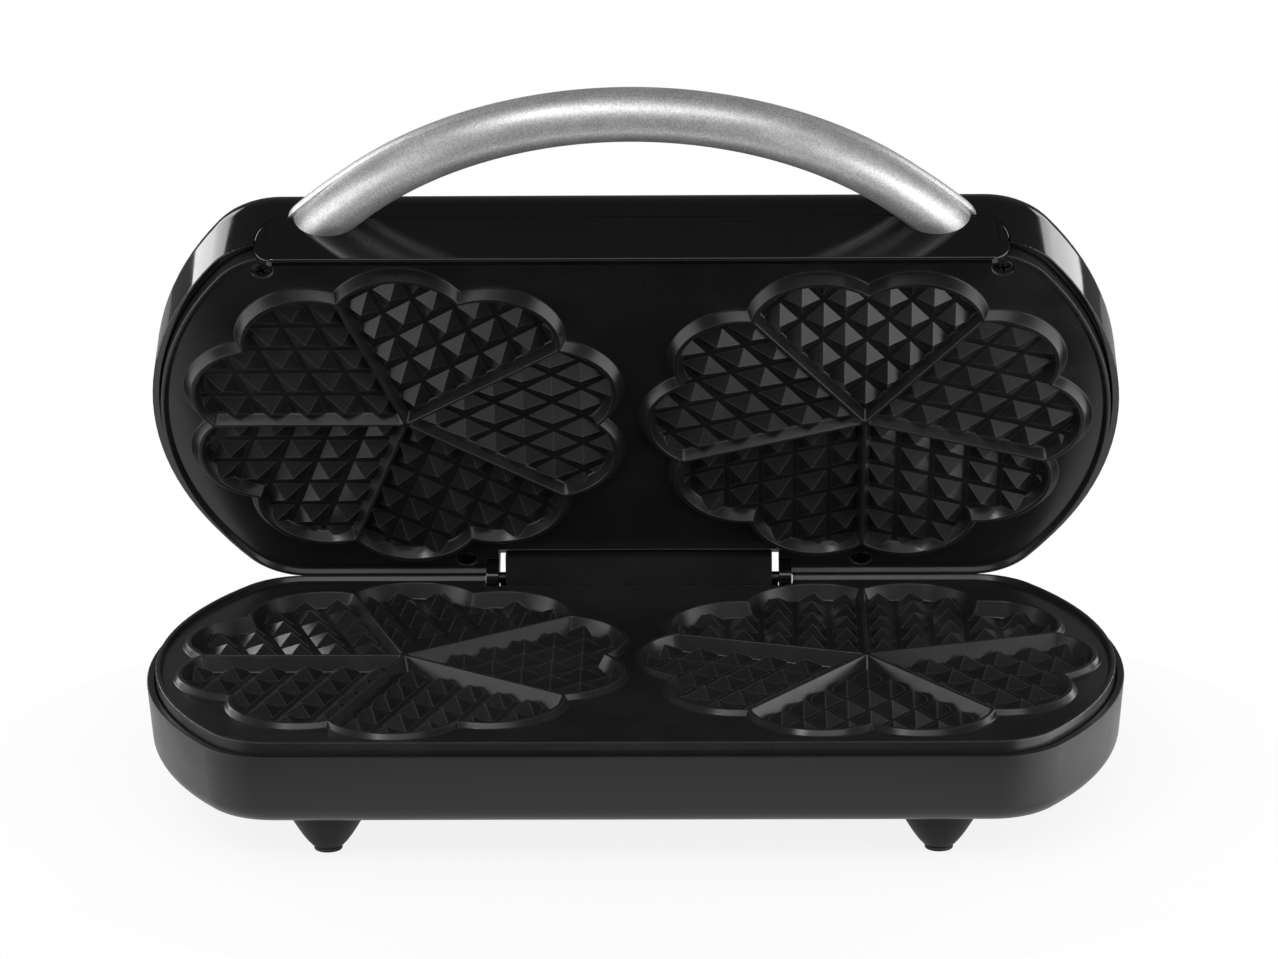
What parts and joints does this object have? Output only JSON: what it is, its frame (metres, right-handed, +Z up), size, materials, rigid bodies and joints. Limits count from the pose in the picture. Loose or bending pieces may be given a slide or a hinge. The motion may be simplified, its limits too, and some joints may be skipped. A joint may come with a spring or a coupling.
{
  "type": "waffle maker",
  "caption": "Electric waffle maker for two round waffles of joined hearts: fixed lower plate in a footed base, hinged lid with the upper plate and an arched handle.",
  "frame": {"origin": "on the table, under the middle of the overall box with the lid at its rest angle", "axes": "+X to the user's right, along the two waffles; +Y to the rear, toward the hinge; +Z up"},
  "size_m": [0.3366, 0.2014, 0.2517],
  "materials": {
    "base_plastic": "satin",
    "lid_plastic": "high gloss",
    "non_stick": "cast aluminium with a satin black non-stick coating",
    "silver_paint": "metallic silver paint",
    "dark_screw": "blackened",
    "steel": "plain",
    "heater_steel": "heat darkened",
    "shield_sheet": "mill",
    "ceramic": "unglazed",
    "rubber": "matt",
    "red_lens": "clear",
    "green_lens": "clear"
  },
  "bodies": {
    "base": {"base_screw_front_left": "steel", "base_screw_front_right": "steel", "base_screw_rear_left": "steel", "base_screw_rear_right": "steel", "base_shell": "base_plastic", "cord_gland": "rubber", "foot_front_left": "base_plastic", "foot_front_right": "base_plastic", "foot_pad_front_left": "rubber", "foot_pad_front_right": "rubber", "foot_pad_rear_left": "rubber", "foot_pad_rear_right": "rubber", "foot_rear_left": "base_plastic", "foot_rear_right": "base_plastic", "hinge_pin_left": "steel", "hinge_pin_right": "steel", "lower_heat_shield": "shield_sheet", "lower_heater": "heater_steel", "lower_plate": "non_stick", "lower_thermal_fuse": "steel", "terminal_block": "ceramic", "thermostat": "ceramic"},
    "lid": {"handle_carrier": "lid_plastic", "handle_front": "silver_paint", "handle_rear": "silver_paint", "handle_screw_left": "steel", "handle_screw_right": "steel", "lid_shell": "lid_plastic", "plate_screw_front_left": "dark_screw", "plate_screw_front_right": "dark_screw", "plate_screw_rear_left": "dark_screw", "plate_screw_rear_right": "dark_screw", "power_lens": "red_lens", "ready_lens": "green_lens", "upper_heat_shield": "shield_sheet", "upper_heater": "heater_steel", "upper_plate": "non_stick", "upper_thermal_fuse": "steel"}
  },
  "joints": [
    {"name": "lid_hinge", "type": "hinge", "parent": "base", "child": "lid", "pos_m": [0, 0.07384, 0.0455], "axis": [-1, 0, 0], "range_deg": [-56.6, 43.4]}
  ]
}
